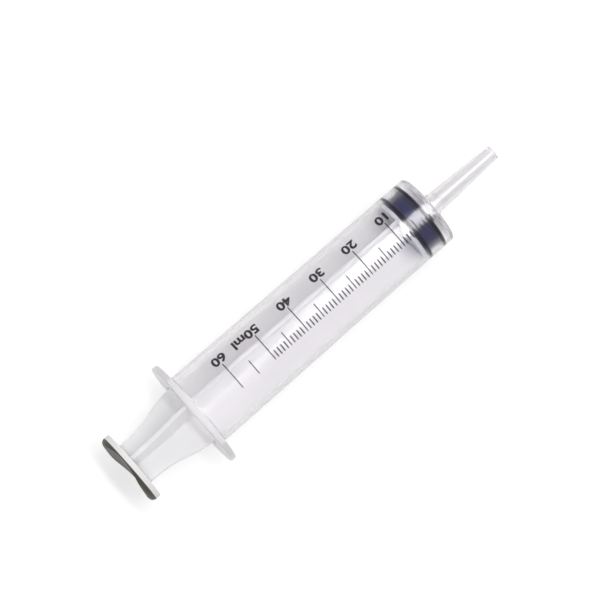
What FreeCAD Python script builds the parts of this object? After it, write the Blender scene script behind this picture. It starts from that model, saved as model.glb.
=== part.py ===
"""A 60 ml catheter tip syringe lying on its side, as a parametric document.

Three moulded pieces: the barrel with its finger flange and tapered tip, the
rubber seal, and the cross-ribbed plunger rod whose head turns in the seal.
The barrel's axis runs along +X, towards the tip. Stations along the axis are
counted from the barrel's inner end wall, forwards positive.
"""
import FreeCAD, Part
import math
import os
import Sketcher

FULL_TURN = 360
HALF_TURN = math.pi
QUADRANTS = 4
PLANE_TOLERANCE = 1e-4
UP = FreeCAD.Vector(0, 0, 1)

SIZES = {
    # Chamber and wall
    "bore_radius": 13.9,
    "front_wall": 1.15,
    "rear_wall": 1.9,
    "end_wall": 1.4,
    "front_round": 1.1,
    "mouth_chamfer": 0.6,
    "stroke": 106.0,
    "stop_gap": 0.4,
    "bead_height": 0.2,
    "bead_width": 1.0,
    "mouth_land": 1.5,
    # Hub and tapered tip
    "fluid_radius": 1.8,
    "tip_wall": 1.15,
    "tip_taper": 1.25,
    "tip_length": 30.8,
    "hub_step": 0.45,
    "hub_length": 2.8,
    "hub_fillet": 0.9,
    # Finger flange
    "flange_thickness": 2.6,
    "wing_reach": 7.6,
    "flat_ledge": 1.2,
    "flange_round": 0.6,
    # Rubber seal
    "nose_gap": 0.7,
    "nose_height": 1.4,
    "nose_radius": 3.0,
    "seal_length": 9.3,
    "ring_width": 2.1,
    "ring_slope": 0.5,
    "groove_depth": 1.15,
    "seal_clearance": 0.05,
    # Rod head, held in the seal's socket
    "head_radius": 6.0,
    "head_nose_radius": 3.4,
    "head_cone": 1.6,
    "head_land": 1.8,
    "neck_radius": 4.0,
    "lip": 2.4,
    "head_clearance": 0.05,
    "push_gap": 0.1,
    # Ribbed rod
    "rod_clearance": 0.05,
    "disc_thickness": 1.6,
    "rib_thickness": 1.8,
    "rib_root": 0.8,
    "stem_radius": 9.4,
    "stem_length": 3.0,
    "flare_length": 28.0,
    "rib_turn": 17.0,
    # Thumb rest
    "home_gap": 28.8,
    "thumb_radius": 15.3,
    "thumb_slab": 2.1,
    "thumb_relief": 2.2,
    "trough_depth": 1.7,
    "trough_half_width": 10.0,
}

# Each of these follows from the sizes above, and is a cell of the same sheet.
DERIVED = {
    "front_radius": "=bore_radius + front_wall",
    "rear_radius": "=bore_radius + rear_wall",
    "tip_end_radius": "=fluid_radius + tip_wall",
    "tip_base_radius": "=tip_end_radius + tip_taper",
    "hub_radius": "=tip_base_radius + hub_step",
    "hub_end": "=end_wall + hub_length",
    "tip_end": "=hub_end + tip_length",
    "ring_radius": "=bore_radius - seal_clearance",
    "waist_radius": "=ring_radius - groove_depth",
    "nose_front": "=-nose_gap",
    "seal_front": "=nose_front - nose_height",
    "ring_one_front": "=seal_front - ring_slope",
    "ring_one_back": "=seal_front - ring_width",
    "ring_one_root": "=ring_one_back - ring_slope",
    "seal_back": "=seal_front - seal_length",
    "ring_two_back": "=seal_back + ring_slope",
    "ring_two_front": "=seal_back + ring_width",
    "ring_two_root": "=ring_two_front + ring_slope",
    "bead_front": "=seal_back - stroke - stop_gap",
    "bead_middle": "=bead_front - bead_width / 2",
    "bead_back": "=bead_front - bead_width",
    "bead_radius": "=bore_radius - bead_height",
    "mouth": "=bead_back - mouth_land",
    "chamfer_start": "=mouth + mouth_chamfer",
    "chamfer_radius": "=bore_radius + mouth_chamfer",
    "flange_front": "=mouth + flange_thickness",
    "flange_inner": "=(bore_radius + rear_radius) / 2",
    "flat_half_width": "=rear_radius + flat_ledge",
    "wing_radius": "=rear_radius + wing_reach",
    "neck_front": "=seal_back + lip",
    "head_shoulder": "=neck_front + head_land",
    "head_front": "=head_shoulder + head_cone",
    "socket_back": "=neck_front - head_clearance",
    "socket_shoulder": "=head_shoulder + head_clearance",
    "socket_front": "=head_front + head_clearance",
    "socket_radius": "=head_radius + head_clearance",
    "socket_nose_radius": "=head_nose_radius + head_clearance",
    "throat_radius": "=neck_radius + head_clearance",
    "rod_reach": "=bead_radius - rod_clearance",
    "disc_front": "=seal_back - push_gap",
    "disc_back": "=disc_front - disc_thickness",
    "thumb_front": "=mouth - home_gap",
    "stem_front": "=thumb_front + stem_length",
    "flare_rise": "=rod_reach - stem_radius",
    "flare_middle": "=stem_front + flare_length / 2",
    "flare_front": "=stem_front + flare_length",
    "flare_middle_radius": "=stem_radius + flare_rise / 2",
    "flare_arc": "=(flare_length ^ 2 + flare_rise ^ 2) / (4 * flare_rise)",
    "slab_back": "=thumb_front - thumb_slab",
    "thumb_back": "=slab_back - thumb_relief",
    "relief_radius": "=thumb_radius - thumb_relief",
    "trough_radius": "=(trough_half_width ^ 2 + trough_depth ^ 2) / (2 * trough_depth)",
    "trough_centre": "=thumb_back + trough_depth - trough_radius",
    "window_length": "=disc_back - thumb_front",
    "half_rib": "=rib_thickness / 2",
    "centre_shift": "=-(tip_end + thumb_back) / 2",
}

doc = FreeCAD.newDocument("catheter_tip_syringe")
sheet = doc.addObject("Spreadsheet::Sheet", "Sizes")
for row, (alias, value) in enumerate([*SIZES.items(), *DERIVED.items()], start=1):
    sheet.set(f"A{row}", alias)
    sheet.set(f"B{row}", str(value))
    sheet.setAlias(f"B{row}", alias)
doc.recompute()


def size(alias):
    """Length or angle held by one cell of the sheet."""
    return float(sheet.get(alias))


def bind(feature, **properties):
    """Hold each property of a feature to the cell named for it."""
    for name, alias in properties.items():
        feature.setExpression(name, f"Sizes.{alias}")


def origin_item(body, role):
    """Plane or axis of a body's own origin."""
    return next(item for item in body.Origin.OriginFeatures if item.Role == role)


def new_body(name):
    body = doc.addObject("PartDesign::Body", name)
    body.Label = name
    return body


def new_sketch(body, name, role, station=None):
    """Sketch on an origin plane, moved along that plane's normal to a station."""
    sketch = body.newObject("Sketcher::SketchObject", name)
    sketch.AttachmentSupport = [(origin_item(body, role), "")]
    sketch.MapMode = "FlatFace"
    if station:
        sketch.setExpression(".AttachmentOffset.Base.z", f"Sizes.{station}")
    return sketch


def hold(sketch, kind, places, alias, sign=""):
    """Add a dimension to a sketch, bound to a cell or to the cell's negative."""
    value = -size(alias) if sign else size(alias)
    index = sketch.addConstraint(Sketcher.Constraint(kind, *places, value))
    sketch.setExpression(f"Constraints[{index}]", f"{sign}Sizes.{alias}")


def arc_between(start, end, radius, side):
    """Anticlockwise arc between two points, and whether it begins at start.

    It bulges to the left of the chord from start to end where side is 1, and
    to the right where side is -1.
    """
    chord = end - start
    across = FreeCAD.Vector(-chord.y, chord.x, 0).normalize() * side
    middle = (start + end) / 2 - across * (radius ** 2 - (chord.Length / 2) ** 2) ** 0.5
    first, last = (end, start) if side > 0 else (start, end)
    angles = [math.atan2(point.y - middle.y, point.x - middle.x) for point in (first, last)]
    return Part.ArcOfCircle(Part.Circle(middle, UP, radius), *angles), side < 0


def section(body, name, corners, arcs=None):
    """Closed half section on the body's XY plane, through (station, radius) corners.

    A station or radius of None lies on that axis of the sketch. Arcs maps the
    number of a corner to the radius, and the side, of the arc that leaves it.
    """
    arcs = arcs or {}
    sketch = new_sketch(body, name, "XY_Plane")
    points = [FreeCAD.Vector(size(x) if x else 0, size(r) if r else 0, 0) for x, r in corners]
    starts = []
    for number, start in enumerate(points):
        end = points[(number + 1) % len(points)]
        edge, forward = Part.LineSegment(start, end), True
        if number in arcs:
            radius, side = arcs[number]
            edge, forward = arc_between(start, end, size(radius), side)
        sketch.addGeometry(edge)
        starts.append(1 if forward else 2)
    for number, (station, radius) in enumerate(corners):
        following = (number + 1) % len(corners)
        corner = (number, starts[number])
        far_end = (number, 3 - starts[number])
        sketch.addConstraint(
            Sketcher.Constraint("Coincident", *far_end, following, starts[following]))
        if station:
            hold(sketch, "DistanceX", (-1, 1, *corner), station)
        else:
            sketch.addConstraint(Sketcher.Constraint("PointOnObject", *corner, -2))
        if radius:
            hold(sketch, "DistanceY", (-1, 1, *corner), radius)
        else:
            sketch.addConstraint(Sketcher.Constraint("PointOnObject", *corner, -1))
    for number, (radius, _) in arcs.items():
        hold(sketch, "Radius", (number,), radius)
    return sketch


def revolve(body, sketch, name):
    """Turn a half section about the body's X axis."""
    turned = body.newObject("PartDesign::Revolution", name)
    turned.Profile = sketch
    turned.ReferenceAxis = (origin_item(body, "X_Axis"), [""])
    turned.Angle = FULL_TURN
    doc.recompute()


def round_edges(body, name, alias, wanted):
    """Fillet the edges of the body's last feature that a test picks."""
    base = body.Tip
    edges = [f"Edge{number}" for number, edge in enumerate(base.Shape.Edges, start=1) if wanted(edge)]
    rounded = body.newObject("PartDesign::Fillet", name)
    rounded.Base = (base, edges)
    bind(rounded, Radius=alias)
    doc.recompute()


def in_plane(edge, alias):
    """True where the whole edge lies in the plane of one station."""
    box = edge.BoundBox
    return max(abs(box.XMin - size(alias)), abs(box.XMax - size(alias))) < PLANE_TOLERANCE


def is_ring(edge, station, radius):
    """True for the circle of one radius, about the axis, at one station."""
    return in_plane(edge, station) and abs(edge.BoundBox.YMax - size(radius)) < PLANE_TOLERANCE


def lay_down(body):
    """Put a piece on the shared axis, at the height at which the barrel lies."""
    body.setExpression(".Placement.Base.x", "Sizes.centre_shift")
    body.setExpression(".Placement.Base.z", "Sizes.flat_half_width")


# Barrel: one wall section turned about the axis, from the mouth to the tip's end
barrel = new_body("barrel")
revolve(barrel, section(barrel, "wall_section", [
    ("mouth", "rear_radius"),
    ("end_wall", "front_radius"),
    ("end_wall", "hub_radius"),
    ("hub_end", "hub_radius"),
    ("hub_end", "tip_base_radius"),
    ("tip_end", "tip_end_radius"),
    ("tip_end", "fluid_radius"),
    (None, "fluid_radius"),
    (None, "bore_radius"),
    ("bead_front", "bore_radius"),
    ("bead_middle", "bead_radius"),
    ("bead_back", "bore_radius"),
    ("chamfer_start", "bore_radius"),
    ("mouth", "chamfer_radius"),
]), "tube_and_tip")
round_edges(barrel, "front_shoulder", "front_round",
            lambda edge: is_ring(edge, "end_wall", "front_radius"))
round_edges(barrel, "hub_root", "hub_fillet",
            lambda edge: is_ring(edge, "end_wall", "hub_radius"))

# Finger flange: a disc with two flats, so that the syringe can't roll
outline = new_sketch(barrel, "flange_outline", "YZ_Plane", "mouth")
centre = FreeCAD.Vector(0, 0, 0)
flat = size("flat_half_width")
reach = (size("wing_radius") ** 2 - flat ** 2) ** 0.5
right_low, right_high = FreeCAD.Vector(reach, -flat, 0), FreeCAD.Vector(reach, flat, 0)
left_low, left_high = FreeCAD.Vector(-reach, -flat, 0), FreeCAD.Vector(-reach, flat, 0)
right_tip, left_tip = FreeCAD.Vector(size("wing_radius"), 0, 0), FreeCAD.Vector(-size("wing_radius"), 0, 0)
RIGHT, TOP, LEFT, BOTTOM, HOLE = range(5)
outline.addGeometry(Part.Arc(right_low, right_tip, right_high))
outline.addGeometry(Part.LineSegment(right_high, left_high))
outline.addGeometry(Part.Arc(left_high, left_tip, left_low))
outline.addGeometry(Part.LineSegment(left_low, right_low))
outline.addGeometry(Part.Circle(centre, UP, size("flange_inner")))
for before, after in ((RIGHT, TOP), (TOP, LEFT), (LEFT, BOTTOM), (BOTTOM, RIGHT)):
    outline.addConstraint(Sketcher.Constraint("Coincident", before, 2, after, 1))
for curve in (RIGHT, LEFT, HOLE):
    outline.addConstraint(Sketcher.Constraint("Coincident", curve, 3, -1, 1))
outline.addConstraint(Sketcher.Constraint("Horizontal", TOP))
outline.addConstraint(Sketcher.Constraint("Horizontal", BOTTOM))
hold(outline, "Radius", (RIGHT,), "wing_radius")
hold(outline, "Radius", (HOLE,), "flange_inner")
hold(outline, "DistanceY", (-1, 1, TOP, 1), "flat_half_width")
hold(outline, "DistanceY", (-1, 1, BOTTOM, 1), "flat_half_width", sign="-")
flange = barrel.newObject("PartDesign::Pad", "finger_flange")
flange.Profile = outline
bind(flange, Length="flange_thickness")
doc.recompute()


def on_flange_rim(edge):
    """True for the flange's outer edges, on its front and its back."""
    across = max(abs(edge.BoundBox.YMax), abs(edge.BoundBox.YMin))
    outside = across > size("rear_radius") + PLANE_TOLERANCE
    return outside and (in_plane(edge, "mouth") or in_plane(edge, "flange_front"))


round_edges(barrel, "flange_edges", "flange_round", on_flange_rim)

# Seal: two sealing rings with a waist between them, and a socket for the rod's head
seal = new_body("plunger_seal")
revolve(seal, section(seal, "seal_section", [
    ("nose_front", None),
    ("nose_front", "nose_radius"),
    ("seal_front", "waist_radius"),
    ("ring_one_front", "ring_radius"),
    ("ring_one_back", "ring_radius"),
    ("ring_one_root", "waist_radius"),
    ("ring_two_root", "waist_radius"),
    ("ring_two_front", "ring_radius"),
    ("ring_two_back", "ring_radius"),
    ("seal_back", "waist_radius"),
    ("seal_back", "throat_radius"),
    ("socket_back", "throat_radius"),
    ("socket_back", "socket_radius"),
    ("socket_shoulder", "socket_radius"),
    ("socket_front", "socket_nose_radius"),
    ("socket_front", None),
]), "rubber")

# Rod: head, neck, pusher disc, ribbed stem and thumb rest as one turned envelope
rod = new_body("plunger_rod")
FLARE_START, FLARE_TURN, RELIEF_START = 8, 9, 13
revolve(rod, section(rod, "rod_section", [
    ("head_front", None),
    ("head_front", "head_nose_radius"),
    ("head_shoulder", "head_radius"),
    ("neck_front", "head_radius"),
    ("neck_front", "neck_radius"),
    ("disc_front", "neck_radius"),
    ("disc_front", "rod_reach"),
    ("disc_back", "rod_reach"),
    ("flare_front", "rod_reach"),
    ("flare_middle", "flare_middle_radius"),
    ("stem_front", "stem_radius"),
    ("thumb_front", "stem_radius"),
    ("thumb_front", "thumb_radius"),
    ("slab_back", "thumb_radius"),
    ("thumb_back", "relief_radius"),
    ("thumb_back", None),
], arcs={
    FLARE_START: ("flare_arc", -1),
    FLARE_TURN: ("flare_arc", 1),
    RELIEF_START: ("thumb_relief", -1),
}), "rod_envelope")

# Four windows with a rounded inner corner leave the cross of ribs of the stem
window = new_sketch(rod, "window_outline", "YZ_Plane", "disc_back")
low, high, bend = size("half_rib"), size("bore_radius"), size("rib_root")
corners = [FreeCAD.Vector(*point, 0)
           for point in ((low + bend, low), (high, low), (high, high), (low, high), (low, low + bend))]
LOWER, OUTER, UPPER, INNER, CORNER = range(5)
for start, end in zip(corners, corners[1:]):
    window.addGeometry(Part.LineSegment(start, end))
window.addGeometry(Part.ArcOfCircle(
    Part.Circle(FreeCAD.Vector(low + bend, low + bend, 0), UP, bend), HALF_TURN, HALF_TURN * 3 / 2))
for before, after in ((LOWER, OUTER), (OUTER, UPPER), (UPPER, INNER)):
    window.addConstraint(Sketcher.Constraint("Coincident", before, 2, after, 1))
window.addConstraint(Sketcher.Constraint("Tangent", INNER, 2, CORNER, 1))
window.addConstraint(Sketcher.Constraint("Tangent", CORNER, 2, LOWER, 1))
for line, kind in ((LOWER, "Horizontal"), (OUTER, "Vertical"), (UPPER, "Horizontal"), (INNER, "Vertical")):
    window.addConstraint(Sketcher.Constraint(kind, line))
hold(window, "Radius", (CORNER,), "rib_root")
hold(window, "DistanceY", (-1, 1, LOWER, 1), "half_rib")
hold(window, "DistanceX", (-1, 1, INNER, 1), "half_rib")
hold(window, "DistanceX", (-1, 1, OUTER, 1), "bore_radius")
hold(window, "DistanceY", (-1, 1, UPPER, 1), "bore_radius")
cut = rod.newObject("PartDesign::Pocket", "rib_window")
cut.Profile = window
bind(cut, Length="window_length")
doc.recompute()
cross = rod.newObject("PartDesign::PolarPattern", "rib_cross")
cross.Originals = [cut]
cross.Axis = (origin_item(rod, "X_Axis"), [""])
cross.Angle = FULL_TURN
cross.Occurrences = QUADRANTS
rod.Tip = cross
doc.recompute()

# A shallow trough across the thumb rest's back
trough = new_sketch(rod, "trough_outline", "XY_Plane")
trough.addGeometry(Part.Circle(
    FreeCAD.Vector(size("trough_centre"), 0, 0), UP, size("trough_radius")))
trough.addConstraint(Sketcher.Constraint("PointOnObject", 0, 3, -1))
hold(trough, "DistanceX", (-1, 1, 0, 3), "trough_centre")
hold(trough, "Radius", (0,), "trough_radius")
hollow = rod.newObject("PartDesign::Pocket", "thumb_trough")
hollow.Profile = trough
hollow.Type = "ThroughAll"
hollow.SideType = "Symmetric"
doc.recompute()

for piece in (barrel, seal, rod):
    lay_down(piece)
rod.Placement.Rotation = FreeCAD.Rotation(FreeCAD.Vector(-1, 0, 0), size("rib_turn"))
rod.setExpression(".Placement.Rotation.Angle", "Sizes.rib_turn")
doc.recompute()

failed = [item.Name for item in doc.Objects if {"Invalid", "Error"} & set(item.State)]
if failed:
    raise RuntimeError(f"features failed: {failed}")
for piece in (barrel, seal, rod):
    if piece.Shape.isNull() or not piece.Shape.isValid():
        raise RuntimeError(f"{piece.Label} has no valid shape")

os.makedirs("parts", exist_ok=True)
for piece in (barrel, seal, rod):
    piece.Shape.exportStep(f"parts/{piece.Label}.step")
    box = piece.Shape.BoundBox
    print(f"{piece.Label}: {len(piece.Shape.Solids)} solid, {piece.Shape.Volume / 1000:.3f} cm3, "
          f"x {box.XMin:.2f} to {box.XMax:.2f}, y {box.YMin:.2f} to {box.YMax:.2f}, "
          f"z {box.ZMin:.2f} to {box.ZMax:.2f}")
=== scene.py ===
# %% [markdown]
# This lesson dresses a 60 ml catheter tip syringe that lies on its flat-sided flange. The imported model
# gives three solids: barrel, rubber seal and ribbed rod. They are right in size, but their faces are
# coarse. Smooth shading could hide that on rubber, but clear plastic bends light at every facet, so each
# solid is worked out again as a smooth surface of the same form.

# %% Load the fixed frame
import math

import bmesh
import bpy
import numpy as np
from mathutils import Matrix, Vector


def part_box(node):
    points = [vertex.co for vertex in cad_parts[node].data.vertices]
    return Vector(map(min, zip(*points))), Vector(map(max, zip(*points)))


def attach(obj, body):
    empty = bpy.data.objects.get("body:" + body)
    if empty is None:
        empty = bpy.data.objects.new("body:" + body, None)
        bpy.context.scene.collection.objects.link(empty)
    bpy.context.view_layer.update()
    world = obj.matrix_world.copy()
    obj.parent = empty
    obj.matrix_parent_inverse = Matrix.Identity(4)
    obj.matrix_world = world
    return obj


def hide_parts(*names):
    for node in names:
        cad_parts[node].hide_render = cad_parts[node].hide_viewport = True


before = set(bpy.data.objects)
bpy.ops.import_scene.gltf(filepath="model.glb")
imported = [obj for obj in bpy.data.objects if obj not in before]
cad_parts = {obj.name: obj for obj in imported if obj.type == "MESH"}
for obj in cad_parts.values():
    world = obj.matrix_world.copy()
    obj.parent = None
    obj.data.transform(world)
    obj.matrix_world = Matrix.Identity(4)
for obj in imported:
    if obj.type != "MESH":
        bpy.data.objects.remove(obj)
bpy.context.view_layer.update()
MM = 0.001

# %% [markdown]
# All sizes below are real ones, in millimetres. Stations along the syringe are counted from the inner end
# wall of the barrel, forwards positive, because the seal comes to rest at that wall and the printed scale
# is counted from it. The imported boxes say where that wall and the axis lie, so nothing is placed by eye.

# %% Stations and radii shared by all pieces
bore_radius = 13.9
front_radius, rear_radius = 15.05, 15.8
end_wall, nose_gap = 1.4, 0.7
barrel_low, barrel_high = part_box("barrel")
zero_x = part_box("plunger_seal")[1].x / MM + nose_gap
axis_height = (barrel_low.z + barrel_high.z) / 2 / MM
mouth = barrel_low.x / MM - zero_x
tip_end = barrel_high.x / MM - zero_x
thumb_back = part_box("plunger_rod")[0].x / MM - zero_x
print(f"mouth {mouth:.2f}, tip end {tip_end:.2f}, thumb rest back {thumb_back:.2f}")
print(f"axis {axis_height:.2f} mm above the table")

# %% [markdown]
# Nearly every piece is a grid of points, one row for each step along its profile and one column for each
# step around the axis. A loop could place the points one by one, but whole arrays do it in one go and
# read as the formula that they follow. Each quad joins a point to its neighbours one column and one row
# on. Where a profile ends near the axis, its first and last rows are each closed by a fan of triangles to
# their middle.


# %% Turn a grid of points into a mesh
def new_piece(name, points, faces, smooth=True):
    """Object at the origin whose mesh holds these points and faces."""
    mesh = bpy.data.meshes.new(name)
    mesh.from_pydata(points.tolist(), [], faces)
    mesh.polygons.foreach_set("use_smooth", np.full(len(faces), smooth))
    mesh.update()
    piece = bpy.data.objects.new(name, mesh)
    bpy.context.scene.collection.objects.link(piece)
    return piece


def surface(name, grid, ring=False):
    """Mesh of the quads between grid[i, j], [i, j+1], [i+1, j+1] and [i+1, j], j running round a circle.

    A ring joins its last row to its first. Otherwise both end rows get a pole, the mean point of the row.
    Faces look outwards when the rows run from the back to the front along the outside.
    """
    rows, columns = grid.shape[:2]
    index = np.arange(rows * columns).reshape(rows, columns)
    here = index if ring else index[:-1]
    above = np.roll(index, -1, axis=0) if ring else index[1:]
    quads = np.stack([here, np.roll(here, -1, axis=1), np.roll(above, -1, axis=1), above], axis=-1)
    points = grid.reshape(-1, 3)
    faces = quads.reshape(-1, 4).tolist()
    if not ring:
        for rim, row in ((index[0][::-1], grid[0]), (index[-1], grid[-1])):
            pole = np.full(columns, len(points))
            points = np.vstack([points, row.mean(axis=0)])
            faces += np.stack([rim, np.roll(rim, -1), pole], axis=-1).tolist()
    return new_piece(name, points, faces)


# %% [markdown]
# Real mouldings have no knife edges: a small round on each corner catches a thin line of light. A Bevel
# modifier could cut the rounds, but it would need a weight on each ring of edges. In the profile, each
# corner simply has its own size. A corner is cut back by a chosen length on both sides and bridged by a
# parabola. One more point on each side holds the straight walls straight, so that smooth shading doesn't
# spread over them.

# %% Round the corners of a profile
BRIDGE = np.linspace(0, 1, 6)[:, None]
HOLD = 1.35


def soften(corners, cuts):
    """Points (1-t)^2 A + 2t(1-t) C + t^2 B at each corner C, with A and B cut back along its two sides.

    The cuts are measured in the first two columns. Any more columns are blended with them.
    """
    corners, cuts = np.array(corners, dtype=float), np.array(cuts, dtype=float)
    back = np.roll(corners, 1, axis=0) - corners
    ahead = np.roll(corners, -1, axis=0) - corners
    back /= np.linalg.norm(back[:, :2], axis=1, keepdims=True)
    ahead /= np.linalg.norm(ahead[:, :2], axis=1, keepdims=True)
    runs = []
    for corner, before, after, cut in zip(corners, back, ahead, cuts):
        start, end = corner + before * cut, corner + after * cut
        bend = (1 - BRIDGE) ** 2 * start + 2 * BRIDGE * (1 - BRIDGE) * corner + BRIDGE ** 2 * end
        held = [corner + before * cut * HOLD, bend, corner + after * cut * HOLD]
        runs.append(np.vstack(held) if cut else corner)
    return np.vstack(runs)


def turned(stations, radii, angles):
    """Points at a station along X, at a radius, turned by an angle from the top towards -Y."""
    x = np.broadcast_to(stations[:, None] + zero_x, radii.shape)
    return np.stack([x, -radii * np.sin(angles), radii * np.cos(angles) + axis_height], axis=-1) * MM


# %% [markdown]
# The barrel is one moulding: tube, end wall, hub, tapered tip with its bore, and the finger flange. A
# Screw modifier could turn a profile, but only into a round shape, and the flange isn't round. So the
# turning is done by formula, and each profile point also has a share: how far its radius follows the
# flange's outline, a circle of the wings cut by two flats. One closed profile runs up the outside and
# back along the inside, which gives the wall a true inside face, as clear plastic needs to bend light.

# %% Barrel
wing_radius, flat_half_width = 23.4, 17.0
flange_thickness, flange_round, flange_root = 2.6, 0.6, 1.1
tip_base, tip_end_radius, fluid_radius = 4.2, 2.95, 1.8
hub_radius, hub_end, front_round, hub_fillet = 4.65, 4.2, 1.1, 0.9
mouth_land, bead_width, bead_height, chamfer = 1.5, 1.0, 0.2, 0.6
flange_front = mouth + flange_thickness
bead_back = mouth + mouth_land
AROUND = 256
NEVER_ZERO = 1e-6

outline_corner = math.acos(flat_half_width / wing_radius)
outline_corners = [
    outline_corner, math.pi - outline_corner,
    math.pi + outline_corner, math.tau - outline_corner]
plain_angles = np.linspace(0, math.tau, AROUND, endpoint=False)
flange_angles = np.sort(np.concatenate([plain_angles, outline_corners]))
flats = flat_half_width / np.maximum(np.abs(np.cos(flange_angles)), NEVER_ZERO)
outline = np.minimum(wing_radius, flats)

wall = [  # station, radius, share of the outline, corner cut
    (mouth, bore_radius + chamfer, 0, 0.12),
    (mouth, wing_radius, 1, flange_round),
    (flange_front, wing_radius, 1, flange_round),
    (flange_front, rear_radius, 0, flange_root),
    (end_wall, front_radius, 0, front_round),
    (end_wall, hub_radius, 0, hub_fillet),
    (hub_end, hub_radius, 0, 0.15),
    (hub_end, tip_base, 0, 0.15),
    (tip_end, tip_end_radius, 0, 0.3),
    (tip_end, fluid_radius, 0, 0.25),
    (0, fluid_radius, 0, 0.15),
    (0, bore_radius, 0, 0.3),
    (bead_back + bead_width, bore_radius, 0, 0.15),
    (bead_back + bead_width / 2, bore_radius - bead_height, 0, 0.2),
    (bead_back, bore_radius, 0, 0.15),
    (mouth + chamfer, bore_radius, 0, 0.12),
]
profile = soften([row[:3] for row in wall], [row[3] for row in wall])
barrel_radii = profile[:, 1:2] + profile[:, 2:3] * (outline - wing_radius)
barrel = surface("barrel_shell", turned(profile[:, 0], barrel_radii, flange_angles), ring=True)
print("barrel:", len(barrel.data.polygons), "faces")

# %% [markdown]
# The seal is rubber: two sealing rings with a waist between them, a low cone nose, and a socket that
# grips the rod's head. Booleans could cut it from a cylinder, but they leave uneven faces, so it is
# turned from one open profile that starts and ends near the axis. Its rings are squeezed a hair into the
# barrel's wall: where they touch there is no air between, and they look black from edge to edge. Their
# inner edges are well rounded, which keeps that black band narrow.

# %% Seal
squeeze = 0.03
ring_radius, waist_radius = bore_radius + squeeze, 12.7
seal_front, seal_back, ring_width, ring_slope = -2.1, -11.4, 2.1, 0.5
nose_radius, throat_radius = 3.0, 4.05
socket_back, socket_shoulder, socket_front, socket_radius, socket_nose = -9.05, -7.15, -5.55, 6.05, 3.45
POLE = 0.4
rubber = [  # station, radius, corner cut
    (-nose_gap, POLE, 0),
    (-nose_gap, nose_radius, 0.5),
    (seal_front, waist_radius, 0.25),
    (seal_front - ring_slope, ring_radius, 0.2),
    (seal_front - ring_width, ring_radius, 0.6),
    (seal_front - ring_width - ring_slope, waist_radius, 0.3),
    (seal_back + ring_width + ring_slope, waist_radius, 0.3),
    (seal_back + ring_width, ring_radius, 0.6),
    (seal_back + ring_slope, ring_radius, 0.2),
    (seal_back, waist_radius, 0.25),
    (seal_back, throat_radius, 0.2),
    (socket_back, throat_radius, 0.2),
    (socket_back, socket_radius, 0.2),
    (socket_shoulder, socket_radius, 0.2),
    (socket_front, socket_nose, 0.2),
    (socket_front, POLE, 0),
]


def lathe(name, rows):
    """Closed solid turned from (station, radius, corner cut) rows that start and end near the axis."""
    line = soften([row[:2] for row in rows], [row[2] for row in rows])[::-1]
    return surface(name, turned(line[:, 0], np.repeat(line[:, 1:], AROUND, axis=1), plain_angles))


seal = lathe("rubber_seal", rubber)
print("seal:", len(seal.data.polygons), "faces")

# %% [markdown]
# The rod is one moulding too, made here as three closed surfaces that run into each other. One skin over
# all of it would need a hand-made join between round plates and a cross, and milky plastic hides the
# overlap anyway. The first is turned: the head that snaps into the seal, its neck, and the disc that
# pushes the seal.

# %% Rod head and pusher disc
rod_reach, neck_radius, disc_thickness = 13.65, 4.0, 1.6
head_front, head_shoulder, neck_front, disc_front = -5.6, -7.2, -9.0, -11.5
head_nose, head_radius = 3.4, 6.0
disc_back = disc_front - disc_thickness
head = lathe("rod_head", [
    (head_front, POLE, 0),
    (head_front, head_nose, 0.2),
    (head_shoulder, head_radius, 0.2),
    (neck_front, head_radius, 0.2),
    (neck_front, neck_radius, 0.1),
    (disc_front, neck_radius, 0.1),
    (disc_front, rod_reach, 0.25),
    (disc_back, rod_reach, 0.25),
    (disc_back, POLE, 0),
])
print("rod head and disc:", len(head.data.polygons), "faces")

# %% [markdown]
# The second is a cross of four ribs. Crossed boxes could stand for it, but they would have neither its
# flare nor the fillets at its root. So a flat section is carried along the axis, and only its reach
# changes: the bore's width inside the barrel and then an S-shaped flare, two equal arcs, down to a slim
# waist at the thumb rest. Both ends sink a little into the plates that they join, so that no gap can show
# there.

# %% Ribbed stem
thumb_slab, thumb_relief = 2.1, 2.2
slab_back = thumb_back + thumb_relief
thumb_front = slab_back + thumb_slab
stem_radius, stem_length, flare_length = 9.4, 3.0, 28.0
stem_front = thumb_front + stem_length
half_rib, rib_root, rib_edge = 0.9, 0.8, 0.35
rib_turn = math.radians(17)
EDGE_STEPS, FLARE_STEPS, STRAIGHT_STEPS = 5, 41, 12
EDGE_HOLD, END_HOLD = 1.6, 3
SINK, PAST_FLARE = 0.3, 1
flare_rise = rod_reach - stem_radius
flare_arc = (flare_length ** 2 + flare_rise ** 2) / (4 * flare_rise)


def reach_at(station):
    """Half width of the ribs: the stem's, two equal arcs that meet at half the rise, then the bore's."""
    into = np.clip(station - stem_front, 0, flare_length)
    nearer = np.minimum(into, flare_length - into)
    bend = flare_arc - np.sqrt(flare_arc ** 2 - nearer ** 2)
    return np.where(into < flare_length / 2, stem_radius + bend, rod_reach - bend)


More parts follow.
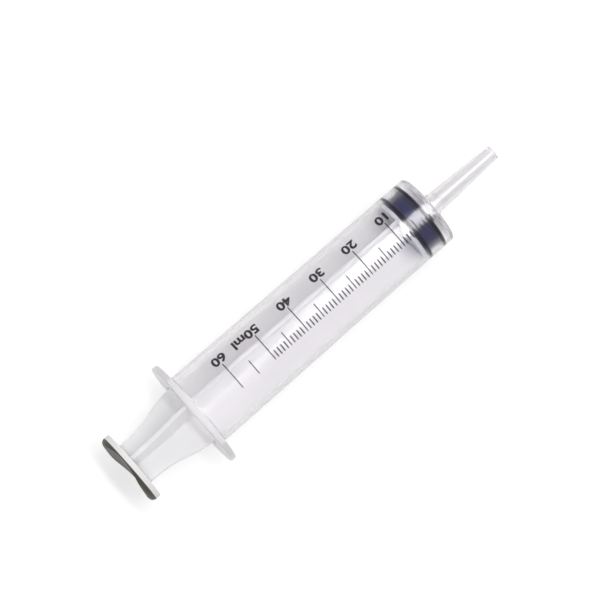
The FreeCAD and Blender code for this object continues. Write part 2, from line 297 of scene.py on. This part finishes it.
def cross_section(reach):
    """Outline of the cross for each reach.

    One half arm runs from its end's middle (reach, 0) over a rounded edge and along its side to the middle
    of the round root. Swapping side and up mirrors it into the next arm, and quarter turns, (a, b) to
    (-b, a), repeat it.
    """
    bend = half_rib + rib_root
    half_arm = [(reach, 0), (reach, half_rib / END_HOLD)]
    half_arm += [(reach - rib_edge * (1 - math.cos(turn)), half_rib - rib_edge * (1 - math.sin(turn)))
                 for turn in np.linspace(0, math.pi / 2, EDGE_STEPS)]
    half_arm += [(reach - rib_edge * EDGE_HOLD, half_rib), (bend + rib_root, half_rib)]
    half_arm += [(bend - rib_root * math.sin(turn), bend - rib_root * math.cos(turn))
                 for turn in np.linspace(0, math.pi / 4, EDGE_STEPS)]
    half = np.array([np.broadcast_arrays(*pair, reach)[:2] for pair in half_arm])
    a, b = np.concatenate([half, half[-2:0:-1, ::-1]]).transpose(1, 2, 0)
    quarters = ((a, b), (-b, a), (-a, -b), (b, -a))
    return np.concatenate([np.stack(pair, axis=-1) for pair in quarters], axis=1)


def turned_rod(stations, across):
    """Places points (side, up) of the rod at their stations, turned with it about the axis."""
    side = across[..., 0] * math.cos(rib_turn) + across[..., 1] * math.sin(rib_turn)
    up = across[..., 1] * math.cos(rib_turn) - across[..., 0] * math.sin(rib_turn)
    return np.stack([np.broadcast_to(stations + zero_x, side.shape), side, up + axis_height], axis=-1) * MM


flare_front = stem_front + flare_length
stem_stations = np.concatenate([
    [thumb_front - SINK],
    np.linspace(stem_front, flare_front, FLARE_STEPS),
    np.linspace(flare_front + PAST_FLARE, disc_back + SINK, STRAIGHT_STEPS),
])
stem = surface("rod_ribs", turned_rod(stem_stations[:, None], cross_section(reach_at(stem_stations))))
print("ribs:", len(stem.data.polygons), "faces")

# %% [markdown]
# The third is the thumb rest, a round plate. Its back stands proud in a rounded relief with a shallow
# trough across it, where the thumb settles. A boolean could cut the trough, but with a sharp edge and
# uneven faces. So the back face is a height over the plate: the lower of the relief and the trough,
# blended where they meet so that the edge between them is soft.

# %% Thumb rest
thumb_radius, trough_depth, trough_half_width = 15.3, 1.7, 10.0
relief_radius = thumb_radius - thumb_relief
trough_radius = (trough_half_width ** 2 + trough_depth ** 2) / (2 * trough_depth)
rim_round, edge_blend = 0.5, 0.5
RIM_START, RIM_STEPS, BACK_STEPS = 0.15, 12, 34


def thumb_back_at(radius, side):
    """Station of the back face: a quarter round rim, a flat, and a round trough that runs up and down."""
    past = np.clip(radius - relief_radius, 0, thumb_relief)
    relief = slab_back - np.sqrt(thumb_relief ** 2 - past ** 2)
    dip = np.sqrt(np.maximum(trough_radius ** 2 - side ** 2, 0)) - (trough_radius - trough_depth)
    trough = thumb_back + dip
    gap = np.clip(0.5 + (trough - relief) / (2 * edge_blend), 0, 1)
    return relief * (1 - gap) + trough * gap + edge_blend * gap * (1 - gap)


def thumb_rest():
    """Rings out over the front face, round the rim, and back in over the dished back face."""
    plate = [(thumb_front, POLE, 0), (thumb_front, thumb_radius, rim_round), (slab_back, thumb_radius, 0)]
    rings = soften([row[:2] for row in plate], [row[2] for row in plate])
    rim = thumb_radius - thumb_relief * (1 - np.cos(np.linspace(RIM_START, math.pi / 2, RIM_STEPS)))
    back = np.concatenate([rim, np.linspace(relief_radius - POLE, POLE, BACK_STEPS)])
    radii = np.concatenate([rings[:, 1], back])[:, None]
    across = np.stack([radii * np.cos(plain_angles), radii * np.sin(plain_angles)], axis=-1)
    stations = np.repeat(rings[:, :1], AROUND, axis=1)
    stations = np.vstack([stations, thumb_back_at(back[:, None], across[len(rings):, :, 0])])
    return surface("thumb_rest", turned_rod(stations, across)[::-1])


thumb = thumb_rest()
print("thumb rest:", len(thumb.data.polygons), "faces")

# %% [markdown]
# The scale is ink on the outside of the barrel. It could be a mask in the barrel's material, but ink is
# opaque and stands a hair proud of clear plastic, so thin bars of real mesh come nearer to it. Each one
# is bent round the wall: a rectangle carried from one angle to another. All the bars go into one mesh,
# because they are one print.

# %% Printed lines
scale_zero, pitch = -0.5, 1.6475
ink_height = 0.03
tick_low, tick_high, five_low, ten_low = 6.7, 18.8, -5.0, -26.7
tick_width, line_width = 0.5, 0.42
DEGREES_A_STEP = 2


def wrap(station, degrees, height):
    """Point on the tapered wall, raised by a height, turned by an angle from the top towards -Y."""
    share = (end_wall - station) / (end_wall - mouth)
    radius = front_radius + (rear_radius - front_radius) * share + height
    angle = np.radians(degrees)
    side, up = -radius * np.sin(angle), radius * np.cos(angle) + axis_height
    return np.stack([station + zero_x, side, up], axis=-1) * MM


def scale_bars(name, rows):
    """One mesh of closed bars, each from a row of station, lowest angle, highest angle and width."""
    points, faces = [], []
    for station, low, high, width in rows:
        steps = np.linspace(low, high, int((high - low) / DEGREES_A_STEP))[:, None]
        corners = station + np.array([-0.5, 0.5, 0.5, -0.5]) * width
        raised = np.array([0, 0, 1, 1]) * ink_height
        grid = wrap(*np.broadcast_arrays(corners, steps, raised))
        index = np.arange(grid[..., 0].size).reshape(-1, 4) + 4 * len(points)
        here, above = index[:-1], index[1:]
        quads = np.stack([here, np.roll(here, -1, axis=1), np.roll(above, -1, axis=1), above], axis=-1)
        faces += quads.reshape(-1, 4).tolist() + [index[0][::-1].tolist(), index[-1].tolist()]
        points += list(grid)
    return new_piece(name, np.concatenate(points), faces, smooth=False)


rows = []
for amount in [*range(1, 51), 55, 60]:
    low = ten_low if amount % 10 == 0 else five_low if amount % 5 == 0 else tick_low
    width = line_width if amount % 5 == 0 else tick_width
    rows.append((scale_zero - amount * pitch, low, tick_high, width))
lines = scale_bars("scale_lines", rows)
print("scale:", len(rows), "lines over", round(60 * pitch, 1), "mm")

# %% [markdown]
# Each number is text made a mesh, and cut into narrow bands so that it can bend. A Shrinkwrap modifier
# could press it on, but the formula that bends the lines also bends the numbers, and then both lie
# equally deep. The baseline runs along the syringe, and the height runs round the barrel. The letters are
# made a little heavier than the plain face; at some weights the outline of the 3 crosses itself, and the
# mesh has a hole.

# %% Printed numbers
number_base, number_top = -43.5, -27.5
letter_size = 6.25
letter_weight, letter_depth = 0.035, 0.01
DIGITS_END = 0.51
BANDS, CURVE_STEPS = 10, 6
MERGE_DISTANCE = 1e-5


def flat_text(name, text):
    """Mesh of a text, thickened by letter_weight all round, cut across its height into bands."""
    letters = bpy.data.curves.new(name, "FONT")
    letters.body = text
    letters.offset, letters.extrude, letters.resolution_u = letter_weight, letter_depth, CURVE_STEPS
    holder = bpy.data.objects.new(name, letters)
    bpy.context.scene.collection.objects.link(holder)
    bpy.context.view_layer.update()
    flat = bpy.data.meshes.new_from_object(holder.evaluated_get(bpy.context.evaluated_depsgraph_get()))
    bpy.data.objects.remove(holder)
    shape = bmesh.new()
    shape.from_mesh(flat)
    bmesh.ops.remove_doubles(shape, verts=shape.verts[:], dist=MERGE_DISTANCE)
    heights = [corner.co.y for corner in shape.verts]
    for cut in np.linspace(min(heights), max(heights), BANDS)[1:-1]:
        everything = shape.verts[:] + shape.edges[:] + shape.faces[:]
        bmesh.ops.bisect_plane(shape, geom=everything, plane_co=(0, cut, 0), plane_no=(0, 1, 0))
    bmesh.ops.triangulate(shape, faces=shape.faces[:])
    bmesh.ops.recalc_face_normals(shape, faces=shape.faces[:])
    shape.to_mesh(flat)
    shape.free()
    return flat


def number(amount, unit=""):
    """Number at letter_size millimetres to the unit of text, its digits centred on their line.

    With a unit after them, the digits end at the share DIGITS_END of the text's width.
    """
    mesh = flat_text(f"number_{amount}", f"{amount}{unit}")
    flat = np.empty(len(mesh.vertices) * 3)
    mesh.vertices.foreach_get("co", flat)
    x, y, z = flat.reshape(-1, 3).T
    left = x.min()
    right = x[x <= x.max() * (DIGITS_END if unit else 1)].max()
    station = scale_zero - amount * pitch + letter_size * ((left + right) / 2 - x)
    degrees = number_base + (y - y.min()) / np.ptp(y) * (number_top - number_base)
    mesh.vertices.foreach_set("co", wrap(station, degrees, np.where(z > 0, ink_height, 0)).ravel())
    mesh.update()
    piece = bpy.data.objects.new(mesh.name, mesh)
    bpy.context.scene.collection.objects.link(piece)
    return piece


numbers = [number(10), number(20), number(30), number(40), number(50, "ml"), number(60)]
print("numbers:", [piece.name for piece in numbers])

# %% [markdown]
# Finishes are written as sums. Nodes could be added and linked one by one, but their maths would be hard
# to read. A small class wraps one socket: a sum of two of them adds a Math node, and one method adds any
# other node by its type, its settings, and what its sockets hold.


# %% Shader sums
GRAIN_DEPTH = 0.2


class Wire:
    """One output socket of a node tree, or a bare tree to build on."""

    def __init__(self, tree, socket=None):
        self.tree, self.socket = tree, socket

    def node(self, kind, settings=None, inputs=None, output=0):
        """Adds a node, sets its settings, then fills its sockets with values or links."""
        made = self.tree.nodes.new(f"ShaderNode{kind}")
        for name, value in (settings or {}).items():
            setattr(made, name, value)
        for name, value in (inputs or {}).items():
            if isinstance(value, Wire):
                self.tree.links.new(value.socket, made.inputs[name])
            else:
                made.inputs[name].default_value = value
        return Wire(self.tree, made.outputs[output] if made.outputs else None)

    def sum(self, operation, first, second):
        return self.node("Math", {"operation": operation}, {0: first, 1: second})

    def __add__(self, other):
        return self.sum("ADD", self, other)

    def __sub__(self, other):
        return self.sum("SUBTRACT", self, other)

    def __rsub__(self, other):
        return self.sum("SUBTRACT", other, self)

    def __mul__(self, other):
        return self.sum("MULTIPLY", self, other)

    def __pow__(self, other):
        return self.sum("POWER", self, other)

    __radd__, __rmul__ = __add__, __mul__

    def between(self, low, high):
        """0 below low, 1 above high, and a smooth rise between them."""
        return self.node("MapRange", {"interpolation_type": "SMOOTHSTEP"},
                         {"Value": self, "From Min": low, "From Max": high})

    def tint(self, none, full):
        """Colour between two colours, given or wired, by this mask."""
        none, full = (end if isinstance(end, Wire) else (*end, 1) for end in (none, full))
        return self.node("Mix", {"data_type": "RGBA"}, {0: self, 6: none, 7: full}, output=2)

    def mix(self, first, second):
        """Shader between two shaders by this mask."""
        return self.node("MixShader", inputs={0: self, 1: first, 2: second})


def finish_of(name):
    """Empty material, and a wire to build on."""
    material = bpy.data.materials.new(name)
    material.use_nodes = True
    material.node_tree.nodes.clear()
    return material, Wire(material.node_tree)


def places(wire):
    """Object coordinates, which are real metres because every piece sits at the origin."""
    return wire.node("TexCoord", output=3)


def stations_of(wire):
    """Station along the syringe, in millimetres."""
    return wire.node("SeparateXYZ", inputs={"Vector": places(wire)}) * (1 / MM) - zero_x


def noise(wire, size, detail=3.0, stretch=(1, 1, 1)):
    """Soft noise whose lumps are about one size across, in metres."""
    spots = wire.node("Mapping", inputs={"Vector": places(wire), "Scale": stretch})
    return wire.node("TexNoise", inputs={"Vector": spots, "Scale": 1 / size, "Detail": detail})


def grained(wire, size, strength):
    """Normal of a moulded skin with a fine grain."""
    grain = noise(wire, size, detail=2)
    return wire.node("Bump", inputs={"Strength": strength, "Distance": GRAIN_DEPTH * MM, "Height": grain})


# %% [markdown]
# The barrel is polypropylene: clear enough to read the seal through it, but a little milky. A low Alpha
# would be the quickest way, but it wouldn't bend light. So the finish is a mix of a clear shader that
# bends light and a pale one that scatters it. The pale veil is thicker in the solid flange and tip, and
# where the wall is seen edge on. Light reaches the inside through the wall, so for shadow rays the wall
# only dims what passes.

# %% Clear plastic
flange_fade, wall_fade, tip_fade = 1.2, 0.5, 3
clear, wire = finish_of("clear_wall")
cloud = noise(wire, 0.012, stretch=(0.4, 1, 1))
edge_on = wire.node("LayerWeight", inputs={"Blend": 0.35}, output=1)
along = stations_of(wire)
in_flange = 1 - along.between(flange_front, flange_front + flange_fade)
in_tip = along.between(end_wall - wall_fade, hub_end + tip_fade)
veil = 0.4 * edge_on ** 3 + 0.7 * in_flange + 0.3 * in_tip + 0.004 * cloud
see_through = wire.node("BsdfPrincipled", inputs={
    "Base Color": (0.985, 0.97, 0.983, 1), "Roughness": 0.2, "IOR": 1.45, "Transmission Weight": 1})
milky = wire.node("BsdfPrincipled", inputs={
    "Base Color": cloud.tint((0.80, 0.785, 0.805), (0.86, 0.845, 0.865)), "Roughness": 0.3, "IOR": 1.45,
    "Normal": grained(wire, 0.001, 0.01)})
dimmed = wire.node("BsdfTransparent", inputs={"Color": (0.6, 0.6, 0.61, 1)})
is_shadow = wire.node("LightPath", output=1)
wire.node("OutputMaterial", inputs={"Surface": is_shadow.mix(veil.mix(see_through, milky), dimmed)})
print("clear plastic:", len(clear.node_tree.nodes), "nodes")

# %% [markdown]
# The seal's rubber is a dark navy with a dull gloss; a fine grain and slightly uneven gloss keep it from
# looking like paint. The rings are nearly black, because they are wet with silicone oil and pressed to
# the wall. They could have a material of their own, but their distance from the axis is enough to tell
# them apart in one.

# %% Rubber
ring_side, ring_face = ring_radius - 0.3, ring_radius - 0.03
rubber_finish, wire = finish_of("navy_rubber")
patches = noise(wire, 0.004)
offset = wire.node("VectorMath", {"operation": "SUBTRACT"}, {0: places(wire), 1: (0, 0, axis_height * MM)})
across = wire.node("VectorMath", {"operation": "MULTIPLY"}, {0: offset, 1: (0, 1 / MM, 1 / MM)})
from_axis = wire.node("VectorMath", {"operation": "LENGTH"}, {0: across}, output=1)
pressed = from_axis.between(ring_side, ring_face)
navy = patches.tint((0.012, 0.013, 0.075), (0.018, 0.020, 0.095))
wire.node("OutputMaterial", inputs={"Surface": wire.node("BsdfPrincipled", inputs={
    "Base Color": pressed.tint(navy, (0.009, 0.008, 0.022)),
    "Roughness": 0.4 + 0.15 * patches, "Specular IOR Level": 0.15, "Normal": grained(wire, 0.0004, 0.1)})})
print("rubber:", len(rubber_finish.node_tree.nodes), "nodes")

# %% [markdown]
# The rod is the same plastic without the clearing agent, so light soaks in and spreads through its thin
# ribs before it comes out again. A plain pale colour would leave hard edges between lit and shaded ribs,
# and subsurface scattering softens them. Beside the seal, the disc has painted shade and a painted blue
# reflection of the rubber, so it is greyer and bluer. The thumb rest's dished back is much darker: that
# is painted shade.

# %% Milky plastic
shade_depth = 1
milk, wire = finish_of("milky_rod")
cloud = noise(wire, 0.01)
# Painted shade beside the seal: from just behind the disc forwards, the rod is painted greyer and bluer.
painted_seal_shade = stations_of(wire).between(disc_back - shade_depth, disc_back)
plain = cloud.tint((0.84, 0.835, 0.845), (0.88, 0.875, 0.885))
wire.node("OutputMaterial", inputs={"Surface": wire.node("BsdfPrincipled", inputs={
    "Base Color": painted_seal_shade.tint(plain, (0.76, 0.79, 0.87)),
    "Subsurface Weight": 1.0, "Subsurface Radius": (1, 1, 1), "Subsurface Scale": 3 * MM,
    "Roughness": 0.35 + 0.1 * cloud, "Normal": grained(wire, 0.0005, 0.08)})})
print("milky plastic:", len(milk.node_tree.nodes), "nodes")

# %% Painted shade on the dished back of the thumb rest
dark_edge, pale_edge = slab_back - 0.25, slab_back + 0.15
dish, wire = finish_of("dish_painted_shade")
cloud = noise(wire, 0.006)
on_plate = stations_of(wire).between(dark_edge, pale_edge)
# Painted shade: the dished back that stands proud of the plate is coloured near black olive.
shade = cloud.tint((0.055, 0.05, 0.038), (0.10, 0.092, 0.075))
pale = cloud.tint((0.82, 0.81, 0.81), (0.87, 0.86, 0.86))
wire.node("OutputMaterial", inputs={"Surface": wire.node("BsdfPrincipled", inputs={
    "Base Color": on_plate.tint(shade, pale), "Roughness": 0.45 + 0.1 * cloud, "Specular IOR Level": 0.25,
    "Normal": grained(wire, 0.0005, 0.08)})})
print("dish:", len(dish.node_tree.nodes), "nodes")

# %% [markdown]
# The print is a thin black ink. Pure black would look like a hole in the plastic. The real ink is nearly
# flat in colour, so only a faint unevenness is added, as where a roller laid it down.

# %% Ink
ink, wire = finish_of("scale_ink")
wear = noise(wire, 0.0008)
wire.node("OutputMaterial", inputs={"Surface": wire.node("BsdfPrincipled", inputs={
    "Base Color": wear.tint((0.012, 0.011, 0.014), (0.03, 0.028, 0.035)), "Roughness": 0.4 + 0.1 * wear})})
print("finishes:", [finish.name for finish in (clear, rubber_finish, milk, dish, ink)])

# %% [markdown]
# Each piece is listed with its finish, its body and the material slot of the record that it stands for.
# It gets its finish and the body that it moves with. The new surfaces take the place of the three solids,
# which stay behind them for the physics.

# %% Give each piece its finish and its body, and hide the three solids
for piece, finish, body, slot in (
        (barrel, clear, "barrel", "clear_plastic"), (seal, rubber_finish, "seal", "seal_rubber"),
        (head, milk, "rod", "milky_plastic"), (stem, milk, "rod", "milky_plastic"),
        (thumb, dish, "rod", "milky_plastic"), (lines, ink, "barrel", "clear_plastic"),
        *((piece, ink, "barrel", "clear_plastic") for piece in numbers)):
    piece.data.materials.append(finish)
    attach(piece, body)
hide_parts("barrel")
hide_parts("plunger_seal")
for piece in (head, stem, thumb):
    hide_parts("plunger_rod")
print("dressed: barrel, plunger_seal and plunger_rod, with", 1 + len(numbers), "printed pieces")

# %% [markdown]
# The photograph shows the syringe on plain white. The lamps could be turned up until the floor is white,
# but that would bleach the plastic. So a pale floor takes the shadow, and to the camera, in reflections
# and through the plastic it also glows, which brings it to white without more light on the object.

# %% Floor
FLOOR_HALF = 3.0
corners = np.array([(-1, -1, 0), (1, -1, 0), (1, 1, 0), (-1, 1, 0)]) * FLOOR_HALF
floor = new_piece("floor", corners, [(0, 1, 2, 3)], smooth=False)
pale_floor, wire = finish_of("pale_floor")
matt = wire.node("BsdfDiffuse", inputs={"Color": (0.8, 0.8, 0.8, 1)})
faint = wire.node("BsdfDiffuse", inputs={"Color": (0.5, 0.5, 0.5, 1)})
glow = wire.node("Emission", inputs={"Color": (1, 1, 1, 1), "Strength": 0.62})
camera_ray, glossy_ray, passing_ray = (wire.node("LightPath", output=index) for index in (0, 3, 6))
seen = camera_ray + glossy_ray + passing_ray
lit = wire.node("AddShader", inputs={0: faint, 1: glow})
wire.node("OutputMaterial", inputs={"Surface": wire.sum("MINIMUM", seen, 1).mix(matt, lit)})
floor.data.materials.append(pale_floor)
print("floor:", 2 * FLOOR_HALF, "m square")

# %% [markdown]
# The room is a soft white dome, brighter towards both ends of the syringe. A dome of one brightness would
# be simpler, but it would mirror in the barrel, over the dark seal. Light from the ends fills the diffuse
# plastic and hardly mirrors in the round barrel, so the seal stays dark. One long softbox hangs across
# the syringe and mirrors as a bright band in the front of the barrel, and a weaker one fills the shaded
# side.

# %% World
dome_light, end_light = 0.44, 0.35
world = bpy.data.worlds.new("studio")
world.use_nodes = True
world.node_tree.nodes.clear()
wire = Wire(world.node_tree)
lengthwise = wire.node("SeparateXYZ", inputs={"Vector": wire.node("TexCoord")})
level = dome_light + end_light * lengthwise * lengthwise
wire.node("OutputWorld", inputs={"Surface": wire.node(
    "Background", inputs={"Color": (1, 0.99, 1, 1), "Strength": level})})
bpy.context.scene.world = world
print("world:", len(world.node_tree.nodes), "nodes")


# %% Softboxes
def softbox(name, place, aim, size, watts):
    """Rectangular lamp at a place, facing a point, in metres; its first size lies in the XZ plane."""
    light = bpy.data.lights.new(name, "AREA")
    light.shape, light.energy = "RECTANGLE", watts
    light.size, light.size_y = size
    towards = (Vector(aim) - Vector(place)).normalized()
    side = Vector((0, 1, 0)).cross(towards).normalized()
    lamp = bpy.data.objects.new(name, light)
    facing = Matrix((side, towards.cross(side), -towards)).transposed().to_4x4()
    lamp.matrix_world = Matrix.Translation(place) @ facing
    bpy.context.scene.collection.objects.link(lamp)


softbox("strip_softbox", (0.265, -0.07, 1.5), (0.06, -0.07, 0), (0.13, 1.1), 10.5)
softbox("side_softbox", (1.1, 1.0, 1.0), (0, 0, 0), (0.7, 0.7), 3)
print("softboxes:", sorted(light.name for light in bpy.data.lights if "softbox" in light.name))

# %% [markdown]
# The camera stands about 1.4 m away, a little behind the middle of the syringe, and is rolled so that the
# tip points up and to the right. A short lens from close by could frame it too, but would swell what is
# near, so a long lens keeps the perspective as weak as in the photograph.

# %% Camera
tilt, roll, distance = math.radians(5.795), math.radians(41.085), 1.4
target = Vector((-0.35, 5.91, axis_height)) * MM
level_right = Vector((math.cos(tilt), 0, math.sin(tilt)))
forward = Vector((math.sin(tilt), 0, -math.cos(tilt)))
sideways = Vector((0, 1, 0))
right = level_right * math.cos(roll) - sideways * math.sin(roll)
up = level_right * math.sin(roll) + sideways * math.cos(roll)
lens = bpy.data.cameras.new("camera")
lens.sensor_width, lens.lens = 36, 218.3
camera = bpy.data.objects.new("camera", lens)
turn = Matrix((right, up, -forward)).transposed().to_4x4()
camera.matrix_world = Matrix.Translation(target - forward * distance) @ turn
bpy.context.scene.collection.objects.link(camera)
bpy.context.scene.camera = camera
bpy.context.scene.view_settings.view_transform = "Standard"
print("camera at", [round(value, 3) for value in camera.matrix_world.translation])

# %% [markdown]
# The last step updates the scene and hands it over.

# %% Finish
bpy.context.view_layer.update()
